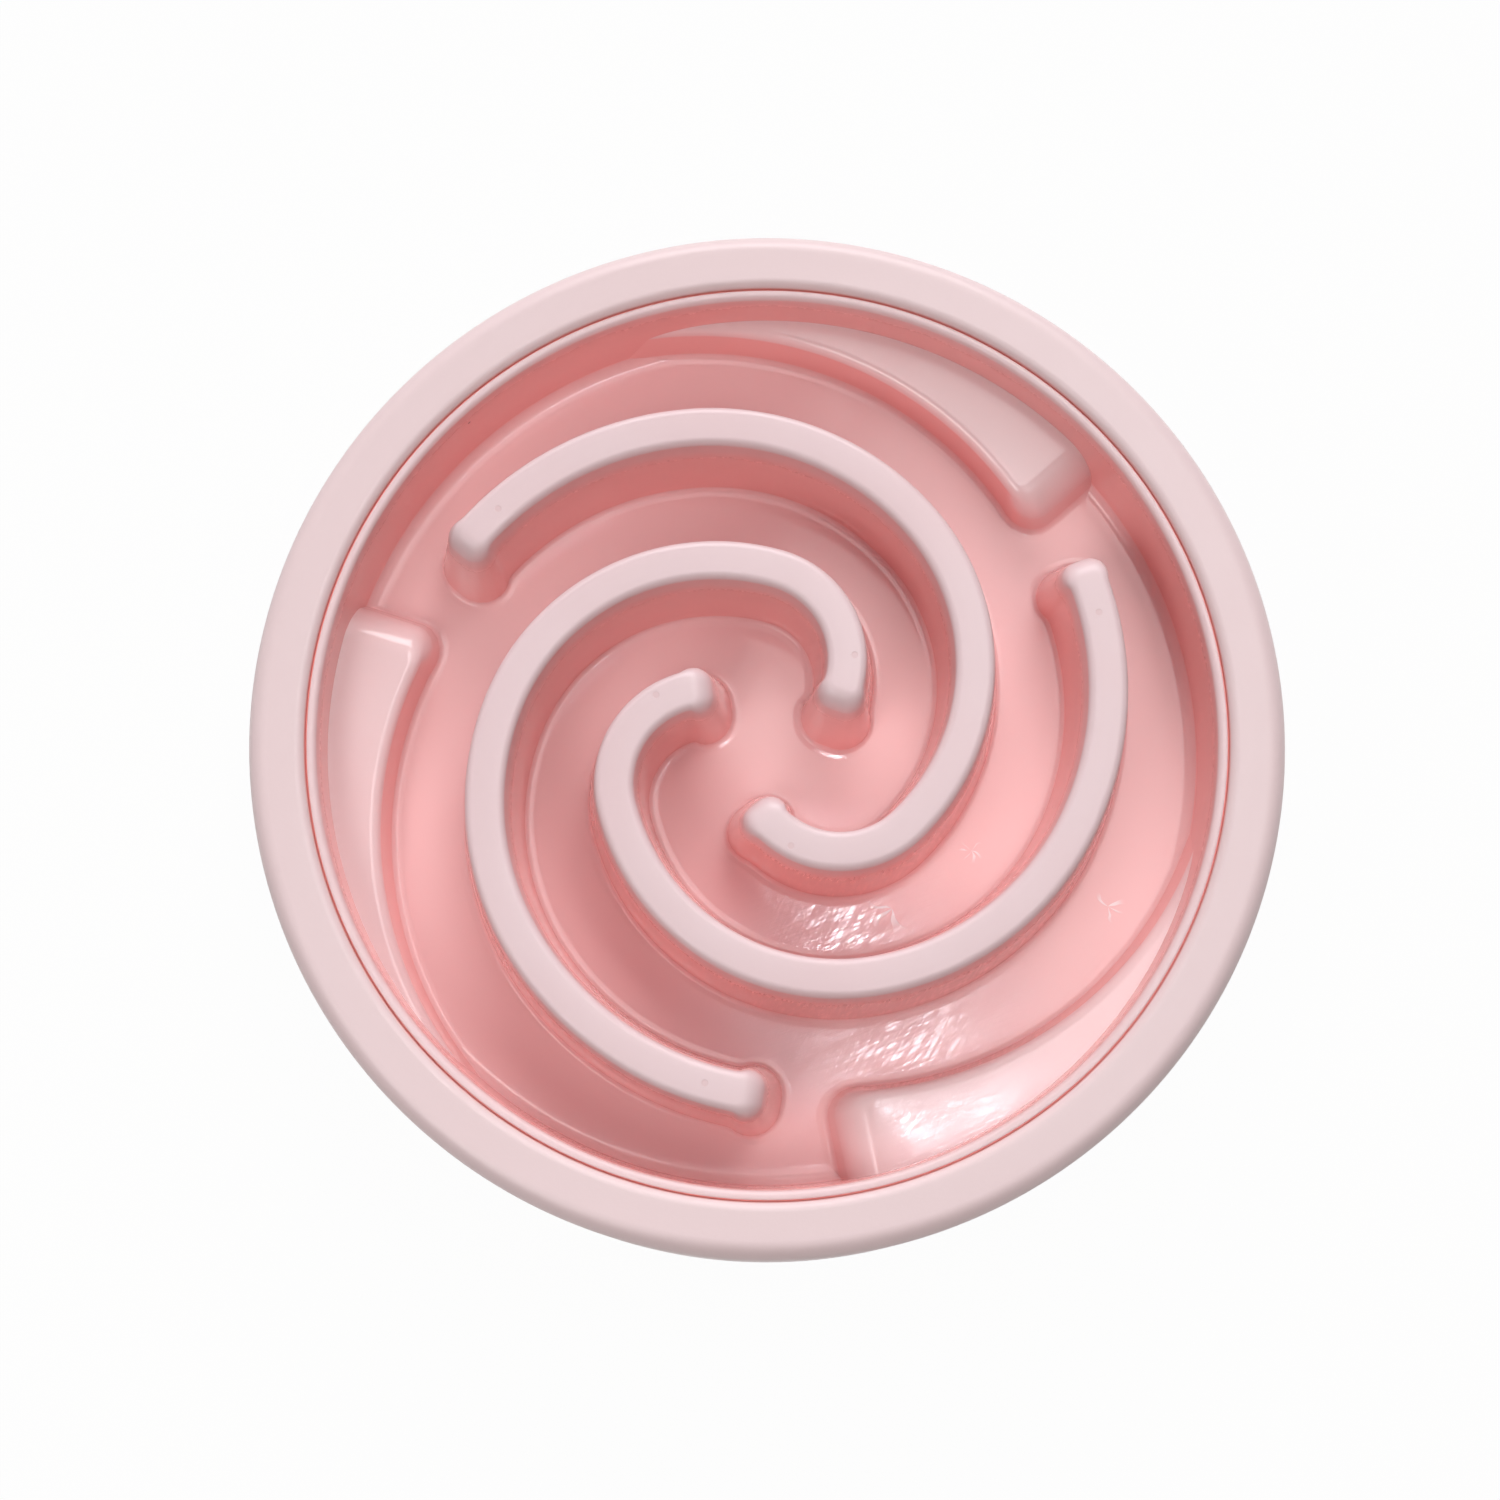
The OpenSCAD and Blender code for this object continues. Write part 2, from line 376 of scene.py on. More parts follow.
def finish_piece(made, material, body, nodes):
    """Smooth shading, the material, and the piece's place in the frame."""
    outward(made.data)
    made.data.shade_smooth()
    made.data.set_sharp_from_angle(angle=SHARP_ANGLE)
    made.data.materials.clear()
    made.data.materials.append(material)
    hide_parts(*nodes)
    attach(made, body)


class Term:
    """What a node gives, with the usual arithmetic. Each sign adds one node."""

    def __init__(self, graph, socket):
        self.graph = graph
        self.socket = socket

    def sign(self, operation, *values):
        kind = "ShaderNodeVectorMath" if self.socket.type == "VECTOR" else "ShaderNodeMath"
        return self.graph.get(kind, dict(enumerate(values)), operation=operation)

    def __add__(self, other):
        return self.sign("ADD", self, other)

    def __sub__(self, other):
        return self.sign("SUBTRACT", self, other)

    def __rsub__(self, other):
        return self.sign("SUBTRACT", other, self)

    def __mul__(self, other):
        return self.sign("MULTIPLY", self, other)


class Graph:
    """Adds nodes to a node tree and links them."""

    def __init__(self, tree):
        self.tree = tree
        tree.nodes.clear()

    def add(self, kind, inputs=None, **settings):
        node = self.tree.nodes.new(kind)
        row, column = divmod(len(self.tree.nodes), 12)
        node.location = (200 * column, -220 * row)
        for name, value in settings.items():
            setattr(node, name, value)
        for key, value in (inputs or {}).items():
            self.feed(node.inputs[key], value)
        return node

    def get(self, kind, inputs=None, output=0, **settings):
        """One output of a new node."""
        return Term(self, self.add(kind, inputs, **settings).outputs[output])

    def feed(self, socket, *values):
        """Links terms to a socket, or gives it a plain value."""
        for value in values:
            if isinstance(value, Term):
                self.tree.links.new(value.socket, socket)
            else:
                socket.default_value = value

    def math(self, operation, *values, **settings):
        return self.get("ShaderNodeMath", dict(enumerate(values)), operation=operation, **settings)

    def whole(self, operation, *values):
        return self.get("FunctionNodeIntegerMath", dict(enumerate(values)), operation=operation)

    def scaled(self, vector, factor):
        return self.get("ShaderNodeVectorMath", {0: vector, "Scale": factor}, operation="SCALE")

    def parts(self, vector):
        """The x, y and z of a vector."""
        return [Term(self, part) for part in self.add("ShaderNodeSeparateXYZ", {0: vector}).outputs]

    def upright(self, height):
        return self.get("ShaderNodeCombineXYZ", {"Z": height})

    def ramp(self, value, low, high):
        """Goes smoothly from 0 at low to 1 at high."""
        inputs = {"Value": value, "From Min": low, "From Max": high}
        return self.get("ShaderNodeMapRange", inputs, "Result", interpolation_type="SMOOTHSTEP")

    def mix(self, factor, first, second):
        node = self.add("ShaderNodeMix", data_type="RGBA")
        for key, value in (("Factor", factor), (6, first), (7, second)):
            self.feed(node.inputs[key], value)
        return Term(self, node.outputs[2])


# The inputs that the node groups of ridges and shelves share
FORM_SOCKETS = {
    "Outline": "Geometry",
    "Section": "Object",
    "Top": "Float",
    "Edge": "Float",
    "End Edge": "Float",
    "End Slope": "Float",
    "Copies": "Int",
    "Material": "Material",
}


def geometry_group(name, sockets):
    """An empty geometry node group with named inputs, its graph and what the inputs give."""
    tree = bpy.data.node_groups.new(name, "GeometryNodeTree")
    tree.interface.new_socket("Geometry", in_out="OUTPUT", socket_type="NodeSocketGeometry")
    for socket, kind in {**FORM_SOCKETS, **sockets}.items():
        tree.interface.new_socket(socket, in_out="INPUT", socket_type="NodeSocket" + kind)
    graph = Graph(tree)
    return tree, graph, {socket.name: Term(graph, socket) for socket in graph.add("NodeGroupInput").outputs}


def run_group(made, tree, values):
    """Puts a node group on an object, sets its inputs and keeps the mesh that it makes."""
    modifier = made.modifiers.new(tree.name, "NODES")
    modifier.node_group = tree
    for item in tree.interface.items_tree:
        if item.in_out == "INPUT" and item.name in values:
            modifier[item.identifier] = values[item.name]
    plain_mesh(made)


def loft_nodes(graph, given):
    """Nodes that raise a closed form from an outline and a section.

    Each point of the outline says which way is out and how far it belongs to a blunt end, whose
    face leans more. Each point of the section is (distance out, height).
    """
    outline = given["Outline"]
    section = graph.get("GeometryNodeObjectInfo", {"Object": given["Section"]}, "Geometry")
    position = graph.get("GeometryNodeInputPosition")
    index = graph.get("GeometryNodeInputIndex")
    around, across = (
        graph.get("GeometryNodeAttributeDomainSize", {"Geometry": form}, "Point Count")
        for form in (outline, section)
    )

    def sampled(geometry, value, kind, at):
        if isinstance(value, str):
            value = graph.get("GeometryNodeInputNamedAttribute", {"Name": value}, "Attribute", data_type=kind)
        inputs = {"Geometry": geometry, "Value": value, "Index": at}
        return graph.get("GeometryNodeSampleIndex", inputs, "Value", data_type=kind, domain="POINT")

    def rounding(drop, radius):
        """How far out a rounded edge has come, a drop below the top."""
        rest = graph.math("MAXIMUM", radius - drop, 0)
        return graph.math("SQRT", graph.math("POWER", radius, 2) - graph.math("POWER", rest, 2))

    def placed(at, row):
        """The place of the outline's point at, on the section's row."""
        reach, _, height = graph.parts(sampled(section, position, "FLOAT_VECTOR", row))
        drop = given["Top"] - height
        softer = rounding(drop, given["End Edge"]) - rounding(drop, given["Edge"])
        lean = drop * given["End Slope"] + softer
        reach = reach + lean * sampled(outline, "end_share", "FLOAT", at)
        out = graph.scaled(sampled(outline, "out", "FLOAT_VECTOR", at), reach)
        return sampled(outline, position, "FLOAT_VECTOR", at) + out + graph.upright(height)

    grid_size = {"Vertices X": graph.whole("ADD", around, 1), "Vertices Y": across}
    grid = graph.get("GeometryNodeMeshGrid", grid_size, "Mesh")
    column = graph.whole("MODULO", graph.whole("DIVIDE_FLOOR", index, across), around)
    filled = graph.get("GeometryNodeTriangulate", {0: outline})
    side = graph.get("GeometryNodeFlipFaces", {0: grid}), placed(column, graph.whole("MODULO", index, across))
    top = filled, placed(index, 0)
    below = graph.get("GeometryNodeFlipFaces", {0: filled}), placed(index, graph.whole("SUBTRACT", across, 1))
    parts = [
        graph.get("GeometryNodeSetPosition", {"Geometry": faces, "Position": place})
        for faces, place in (side, top, below)
    ]
    joined = graph.add("GeometryNodeJoinGeometry")
    graph.feed(joined.inputs[0], *reversed(parts))
    joined = Term(graph, joined.outputs[0])
    return graph.get("GeometryNodeMergeByDistance", {"Geometry": joined, "Distance": WELD})


def repeat_nodes(graph, given, form):
    """Nodes that repeat a form round the bowl and give it its material."""
    copies = given["Copies"]
    points = graph.get("GeometryNodePoints", {"Count": copies})
    turn = graph.math("DIVIDE", 2 * math.pi, copies) * graph.get("GeometryNodeInputIndex")
    rotation = graph.get("FunctionNodeEulerToRotation", {0: graph.upright(turn)})
    inputs = {"Points": points, "Instance": form, "Rotation": rotation}
    placed = graph.get("GeometryNodeInstanceOnPoints", inputs)
    real = graph.get("GeometryNodeRealizeInstances", {"Geometry": placed})
    painted = graph.get("GeometryNodeSetMaterial", {"Geometry": real, "Material": given["Material"]})
    graph.add("NodeGroupOutput", {0: painted})


def ridge_group():
    """Geometry nodes: a form raised along a straight line, bent along a path and repeated."""
    sockets = {"Path": "Object", "Path Length": "Float"}
    tree, graph, given = geometry_group("Forms Along a Path", sockets)
    form = loft_nodes(graph, given)
    x, y, z = graph.parts(graph.get("GeometryNodeInputPosition"))
    along = graph.get("ShaderNodeClamp", {"Value": x, "Min": 0, "Max": given["Path Length"]})
    path = graph.get("GeometryNodeObjectInfo", {"Object": given["Path"]}, "Geometry")
    sample = graph.add("GeometryNodeSampleCurve", {"Curves": path, "Length": along}, mode="LENGTH")
    spot, ahead = (Term(graph, sample.outputs[name]) for name in ("Position", "Tangent"))
    left = graph.get("ShaderNodeVectorMath", {0: (0, 0, 1), 1: ahead}, operation="CROSS_PRODUCT")
    aside = graph.scaled(ahead, x - along) + graph.scaled(left, y)
    bent = spot + aside + graph.upright(z)
    form = graph.get("GeometryNodeSetPosition", {"Geometry": form, "Position": bent})
    repeat_nodes(graph, given, form)
    return tree


def shelf_group():
    """Geometry nodes: a raised form kept inside a round solid, turned and repeated."""
    sockets = {"Keep Inside": "Object", "Turn": "Float"}
    tree, graph, given = geometry_group("Forms Against a Wall", sockets)
    form = loft_nodes(graph, given)
    disc = graph.get("GeometryNodeObjectInfo", {"Object": given["Keep Inside"]}, "Geometry")
    kept = graph.add("GeometryNodeMeshBoolean", operation="INTERSECT", solver="EXACT")
    graph.feed(kept.inputs["Mesh 2"], disc, form)
    inputs = {"Geometry": Term(graph, kept.outputs[0]), "Rotation": graph.upright(given["Turn"])}
    repeat_nodes(graph, given, graph.get("GeometryNodeTransform", inputs))
    return tree


def strip_faces(points, half):
    """Faces that fill a long counterclockwise outline along X: one at each end, short ones between."""
    lower = [k for k, p in enumerate(points) if p.y < WELD - half]
    upper = [k for k, p in enumerate(points) if p.y > half - WELD]
    lower.sort(key=lambda k: points[k].x)
    upper.sort(key=lambda k: points[k].x)
    faces = [[a, b, d, c] for a, b, c, d in zip(lower, lower[1:], upper, upper[1:])]
    for first, last in ((upper[0], lower[0]), (lower[-1], upper[-1])):
        between = (last - first) % len(points)
        faces.append([(first + k) % len(points) for k in range(between + 1)])
    return faces


def outline_object(name, points, outs, end_shares, faces=None):
    """A flat shape whose points carry their outward direction and their share of a blunt end."""
    made = make_object(name, [(p.x, p.y, 0) for p in points], faces or [list(range(len(points)))])
    out = made.data.attributes.new("out", "FLOAT_VECTOR", "POINT")
    out.data.foreach_set("vector", [number for d in outs for number in (d.x, d.y, 0)])
    end = made.data.attributes.new("end_share", "FLOAT", "POINT")
    end.data.foreach_set("value", end_shares)
    return made


def path_object(name, points):
    curve = bpy.data.curves.new(name, "CURVE")
    curve.dimensions = "3D"
    line = curve.splines.new("POLY")
    line.points.add(len(points) - 1)
    for point, place in zip(line.points, points):
        point.co = (place.x, place.y, 0, 1)
    return link_object(name, curve)


def cove(insert, foot, low, lean, radius, side):
    """Corners of a foot: the hollow corner, and the start of the rising floor beside it.

    The foot is where the leaning face would meet the floor, and the floor lies on its +1 or -1 side.
    """
    width = insert.cove_width + radius
    rise = width * math.tan(insert.cove_tilt)
    return [
        (foot - side * rise * lean, low + rise, radius, insert.foot_steps),
        (foot + side * width, low, insert.cove_curve, insert.edge_steps),
    ]


# Height between the further points of a softer end edge
DROP_STEP = 0.7 * MM
# How far a skin goes on past the end of its foot curve
COVE_SPARE = 0.1 * MM


def soft_drops(form):
    """Depths below a form's top at which its softer end edge needs further points."""
    reach = form.end_edge - form.edge
    steps = max(1, round(reach / DROP_STEP))
    return [form.edge + reach * (k + 0.5) / steps for k in range(steps)] + [form.end_edge]


def flat_reach(form):
    """How far the plane of a form's top reaches out past where its rounded edge starts."""
    return form.edge * math.tan((math.pi / 2 - form.draft) / 2)


def skin_section(levels, insert, form, top):
    """A raised form's skin, from its flat top out, down its side, under and up inside."""
    flat = flat_reach(form)
    lean = math.tan(form.draft)
    low = levels.floor_z - insert.sink
    foot = flat + (top - low) * lean
    far = foot + form.foot + insert.cove_width + COVE_SPARE
    far += insert.cove_curve * math.tan(insert.cove_tilt / 2)
    inner_top = top - form.skin
    return rounded(
        (0, top),
        (flat, top, form.edge, insert.edge_steps),
        *[(flat + drop * lean, top - drop) for drop in soft_drops(form)],
        *cove(insert, foot, low, lean, form.foot, 1),
        (far, low),
        (far, levels.mid_floor_z),
        ((inner_top - levels.mid_floor_z) * lean, levels.mid_floor_z),
        (0, inner_top),
    )


def core_section(levels, form, top, gap, overrun):
    """The hollow below a form, a hair larger than the inside of its skin."""
    inner_top = top - form.skin
    low = levels.seat_z - overrun
    lean = math.tan(form.draft)
    return [(0, inner_top), (gap, inner_top), (gap + (inner_top - low) * lean, low), (0, low)]


# How the arcs of a ridge's spiral go on from one another: each radius, as a share of the pan's
# inner radius, and how far the arc turns, in degrees
SPIRAL_ARCS = ((0.707, 47), (0.61, 54), (0.5, 86), (0.213, 96))


def spiral(levels, ridges):
    """Points along a ridge's middle, from its outer end inwards."""
    heading = ridges.start_angle - math.pi / 2 - ridges.start_lean
    points = [levels.maze_r * ridges.start_share * direction(ridges.start_angle)]
    for radius_share, turn in SPIRAL_ARCS:
        radius = levels.maze_r * radius_share
        steps = math.ceil(radius * math.radians(turn) / ridges.step)
        part = math.radians(turn) / steps
        chord = 2 * radius * math.sin(part / 2)
        for _ in range(steps):
            points.append(points[-1] + chord * direction(heading - part / 2))
            heading -= part
    return points


def line_length(points):
    return sum((b - a).length for a, b in zip(points, points[1:]))


def subdivided(points, step):
    """The same outline with its long straight runs cut into steps."""
    line = []
    for a, b in zip(points, points[1:] + points[:1]):
        cuts = max(1, round((b - a).length / step))
        line += [a.lerp(b, k / cuts) for k in range(cuts)]
    return line


def outward_directions(points):
    """The outward direction at each point of a counterclockwise outline."""
    outs = []
    for k, at in enumerate(points):
        ahead = (points[(k + 1) % len(points)] - at).normalized() + (at - points[k - 1]).normalized()
        ahead.normalize()
        outs.append(Vector((ahead.y, -ahead.x)))
    return outs


# The mould's gate marks on the ridges: the first one's distance from the axis and direction
GATES = ((68 * MM, math.radians(140)), (22.5 * MM, math.radians(161.5)))
GATE_SIZE = 1.5 * MM
# The scuffs on the maze floor: the place and the reach of each
SCUFFS = (
    (40.7 * MM, -19.6 * MM, 2.8 * MM),
    (67.7 * MM, -30.8 * MM, 3.6 * MM),
    (24.9 * MM, -31.2 * MM, 5.5 * MM),
)
# The most scratched spot of the maze floor, how far it is fully scratched and where that ends
WORN_SPOT = (26 * MM, -44 * MM, 0)
WORN_REACH = (16 * MM, 46 * MM)
# How far the crown in the maze floor's shading reaches
CROWN_REACH = 52 * MM
# Colours that are mixed into the pieces' own; the scuffs' pale colour is partly a painted glint
INSERT_CLOUD = (0.8, 0.4, 0.4, 1)
STAND_CLOUD = (0.82, 0.6, 0.6, 1)
SPECK_COLOUR = (0.2, 0.08, 0.08, 1)
GATE_COLOUR = (0.7, 0.42, 0.42, 1)
SCUFF_AND_GLINT_COLOUR = (0.97, 0.9, 0.91, 1)
DUST_COLOUR = (0.16, 0.15, 0.15, 1)


class Paint(Graph):
    """A material's nodes. Noise scales are waves in a metre, and masks go from 0 to 1."""

    def __init__(self, name):
        self.made = bpy.data.materials.new(name)
        self.made.use_nodes = True
        super().__init__(self.made.node_tree)
        self.place = self.get("ShaderNodeTexCoord", None, "Object")
        self.height = self.parts(self.place)[2]

    def surface(self, base, rough, relief, strength, depth):
        """The finished material, with the relief as its bump."""
        bump = self.get("ShaderNodeBump", {"Height": relief, "Strength": strength, "Distance": depth})
        inputs = {"Base Color": base, "Roughness": rough, "Normal": bump}
        self.add("ShaderNodeOutputMaterial", {"Surface": self.get("ShaderNodeBsdfPrincipled", inputs)})
        return self.made

    def noise(self, scale, detail=3, roughness=0.5, place=None):
        inputs = {"Vector": place or self.place, "Scale": scale, "Detail": detail, "Roughness": roughness}
        return self.get("ShaderNodeTexNoise", inputs, "Fac")

    def flatness(self):
        """0 where a surface stands steep, 1 where it lies flat."""
        normal = self.get("ShaderNodeNewGeometry", None, "Normal")
        return self.ramp(self.math("ABSOLUTE", self.parts(normal)[2]), 0.05, 0.4)

    def distance(self, spot=(0, 0, 0)):
        """Distance from an upright line through a spot."""
        across = (self.place - spot) * (1, 1, 0)
        return self.get("ShaderNodeVectorMath", {0: across}, "Value", operation="LENGTH")

    def near(self, spot, inner, outer):
        """1 within the inner distance of such a line, 0 beyond the outer one."""
        return self.ramp(self.distance(spot), outer, inner)

    def scratches(self, turn, long, fine):
        """Thin lines in one direction, from a noise that is stretched along it."""
        inputs = {"Vector": self.place, "Rotation": (0, 0, turn), "Scale": (long, fine, long)}
        stretched = self.get("ShaderNodeMapping", inputs, vector_type="TEXTURE")
        return self.ramp(self.noise(1, 2, place=stretched), 0.46, 0.6)

    def gate_marks(self, arms):
        """Small round marks on the ridges' tops, where the mould's gates were."""
        marks = 0
        for radius, turn in GATES:
            for k in range(arms):
                spot = radius * direction(turn + 2 * math.pi * k / arms).to_3d()
                marks = self.math("MAXIMUM", marks, self.near(spot, GATE_SIZE * 0.35, GATE_SIZE * 0.5))
        return marks

    def scuffs(self):
        """A few short, crooked scratches that cross at each scuff."""
        marks = 0
        for x, y, reach in SCUFFS:
            across, along, _ = self.parts(self.place - (x, y, 0))
            bent = self.noise(0.9 / reach, 1) * 1.8 + self.math("ARCTAN2", along, across)
            at = self.get("ShaderNodeCombineXYZ", {"X": bent, "Y": x / reach})
            rays = self.ramp(self.noise(1.5, 1, place=at), 0.55, 0.62)
            marks = self.math("MAXIMUM", marks, rays * self.near((x, y, 0), reach * 0.4, reach))
        return marks

    def specks(self):
        """A few small specks, as of dust in the plastic."""
        cells = self.add("ShaderNodeTexVoronoi", {"Vector": self.place, "Scale": 70}, feature="F1").outputs
        apart, draw = Term(self, cells["Distance"]), Term(self, cells["Color"])
        chosen = self.math("GREATER_THAN", self.parts(draw)[0], 0.8)
        return (1 - self.ramp(apart, 0.016, 0.03)) * chosen


def insert_material(finish):
    """Pink plastic, satin on the ridges' tops and glossy and finely scratched in the channels, with painted
    light and shade in its colour.
    """
    paint = Paint("insert_plastic")
    levels = Levels()
    near_top = levels.ridge_z - 1 * MM
    flat = paint.flatness()
    scuffs = paint.scuffs()
    gates = paint.gate_marks(bpy.context.scene.bowl_insert.arms)
    gates = gates * paint.ramp(paint.height, levels.lip_z, near_top)
    near_lip = paint.ramp(paint.height, levels.lip_z - 5 * MM, levels.lip_z)
    outside = paint.ramp(paint.distance(), levels.maze_r + 1 * MM, levels.insert_r - 0.2 * MM)
    below_lip = paint.ramp(paint.height, levels.lip_z - 0.15 * MM, levels.lip_z - 0.35 * MM)
    # Painted shade: the floor starts from the deepest pink, the shaded copy of the insert's one pink
    base = finish.floor_colour
    for cover, other in (
        # Painted light: shelves and ridge tops get paler, lit copies of the same pink by height
        (paint.ramp(paint.height, levels.floor_z + 1 * MM, levels.shelf_z), finish.shelf_colour),
        (paint.ramp(paint.height, levels.lip_z - 1.5 * MM, near_top), finish.top_colour),
        # Painted shade: steep faces take the deeper pink of the shaded sides, less of it near the lip
        ((1 - flat) * (near_lip * -0.5 + 0.95), finish.side_colour),
        # Painted shade: the insert's outer wall below the lip is red, a painted red shade inside the gap
        (outside * below_lip, finish.seam_colour),
        (paint.ramp(paint.noise(28, 2), 0.35, 0.7) * 0.08, INSERT_CLOUD),
        (paint.specks() * 0.7, SPECK_COLOUR),
        (gates * 0.3, GATE_COLOUR),
        # The scuffs are real scratches; their pale colour is partly a painted glint
        (scuffs * 0.8, SCUFF_AND_GLINT_COLOUR),
    ):
        base = paint.mix(cover, base, other)
    satin = paint.ramp(paint.height, levels.shelf_z, levels.ridge_z - 3 * MM)
    lines = paint.scratches(1.05, 9 * MM, 0.6 * MM) + paint.scratches(0.4, 6 * MM, 0.5 * MM)
    lines = lines * (paint.near(WORN_SPOT, *WORN_REACH) * 0.85 + 0.15)
    rough = satin * (finish.top_roughness - finish.floor_roughness) + finish.floor_roughness
    haze = paint.noise(90, 4, 0.6) * 0.1 - 0.04
    rough = paint.math("ADD", rough + lines * 0.07, haze, use_clamp=True)
    fine = lines * (satin * -0.08 + 0.18) * flat + paint.noise(420, 2) * 0.15
    waves = paint.noise(38, 1) * 4 + paint.noise(130, 1) * 0.6
    crown = paint.ramp(paint.distance(), CROWN_REACH, 0) * 26
    return paint.surface(base, rough, fine + scuffs + gates * -4 + waves + crown, 0.25, 0.15 * MM)


def stand_material(finish):
    """Pale pink plastic with the fine grain of a satin mould."""
    paint = Paint("stand_plastic")
    levels = Levels()
    cloud = paint.ramp(paint.noise(22, 2), 0.3, 0.75) * 0.08
    inside = paint.ramp(paint.distance(), levels.seam_r + 0.8 * MM, levels.seam_r + 0.1 * MM)
    below_rim = paint.ramp(paint.height, levels.rim_z - 0.8 * MM, levels.rim_z - 2 * MM)
    base = paint.mix(cloud, finish.stand_colour, STAND_CLOUD)
    # Painted shade: the well's wall below the rim is red, a painted red shade inside the gap
    base = paint.mix(inside * below_rim, base, finish.seam_colour)
    rough = paint.noise(140) * 0.16 + (finish.stand_roughness - 0.08)
    return paint.surface(base, rough, paint.noise(1500, 2) + paint.noise(300, 2), 0.1, 0.1 * MM)


def rubber_material(finish):
    """Dark matt rubber with a dusty grain."""
    paint = Paint("foot_rubber")
    dust = paint.ramp(paint.noise(400, 4, 0.7), 0.5, 0.8)
    base = paint.mix(dust * 0.3, finish.rubber_colour, DUST_COLOUR)
    return paint.surface(base, dust * 0.1 + finish.rubber_roughness, paint.noise(1800), 0.3, 0.1 * MM)


def foot_places(levels):
    stand, foot = bpy.context.scene.bowl_stand, bpy.context.scene.bowl_feet
    reach = levels.wall(levels.seam_r, levels.seat_z) - foot.inset - stand.boss_radius
    return [reach * direction((k + 0.5) * 2 * math.pi / foot.number) for k in range(foot.number)]


class BOWL_OT_stand(bpy.types.Operator):
    """Build the stand with its rim, skirt, well and the bosses over the feet"""

    bl_idname = "bowl.build_stand"
    bl_label = "Build Stand"

    def execute(self, context):
        stand, foot = context.scene.bowl_stand, context.scene.bowl_feet
        levels = Levels()
        rim_in = levels.wall(levels.seam_r, levels.rim_z)
        well = levels.wall(levels.seam_r, levels.seat_z)
        skirt = stand.rim_radius + stand.flare
        under_rim = levels.rim_z - stand.wall
        edge = stand.wall / 3
        profile = rounded(
            (0, levels.seat_z),
            (well, levels.seat_z, stand.corner, WIDE_STEPS),
            (rim_in, levels.rim_z, stand.inner_edge, MIDDLE_STEPS),
            (stand.rim_radius, levels.rim_z, stand.shoulder, WIDE_STEPS),
            (skirt, stand.skirt_gap, edge, SMALL_STEPS),
            (skirt - stand.wall, stand.skirt_gap, edge, SMALL_STEPS),
            (stand.rim_radius - stand.wall, under_rim, stand.wall / 2, SMALL_STEPS),
            (levels.wall(levels.seam_r + stand.wall, levels.rim_z), under_rim, stand.wall / 2, SMALL_STEPS),
            (well + stand.wall, levels.under_z, stand.corner + stand.wall, WIDE_STEPS),
            (0, levels.under_z),
        )
        made = turned("stand", profile, stand.segments)
        bore_top = foot.thickness + (levels.under_z - foot.thickness) * foot.plug_share
        tube = rounded(
            (0, bore_top),
            (stand.bore_radius, bore_top),
            (stand.bore_radius, foot.thickness, BORE_EDGE, FINE_STEPS),
            (stand.boss_radius, foot.thickness, BOSS_EDGE, LIP_STEPS),
            (stand.boss_radius, levels.under_z + stand.wall / 2),
            (0, levels.under_z + stand.wall / 2),
        )
        for number, place in enumerate(foot_places(levels)):
            combine(made, turned(f"boss_{number}", tube, foot.segments, place), "UNION")
        plastic = stand_material(context.scene.bowl_finish)
        finish_piece(made, plastic, "stand", ["outer_bowl"])
        return {"FINISHED"}


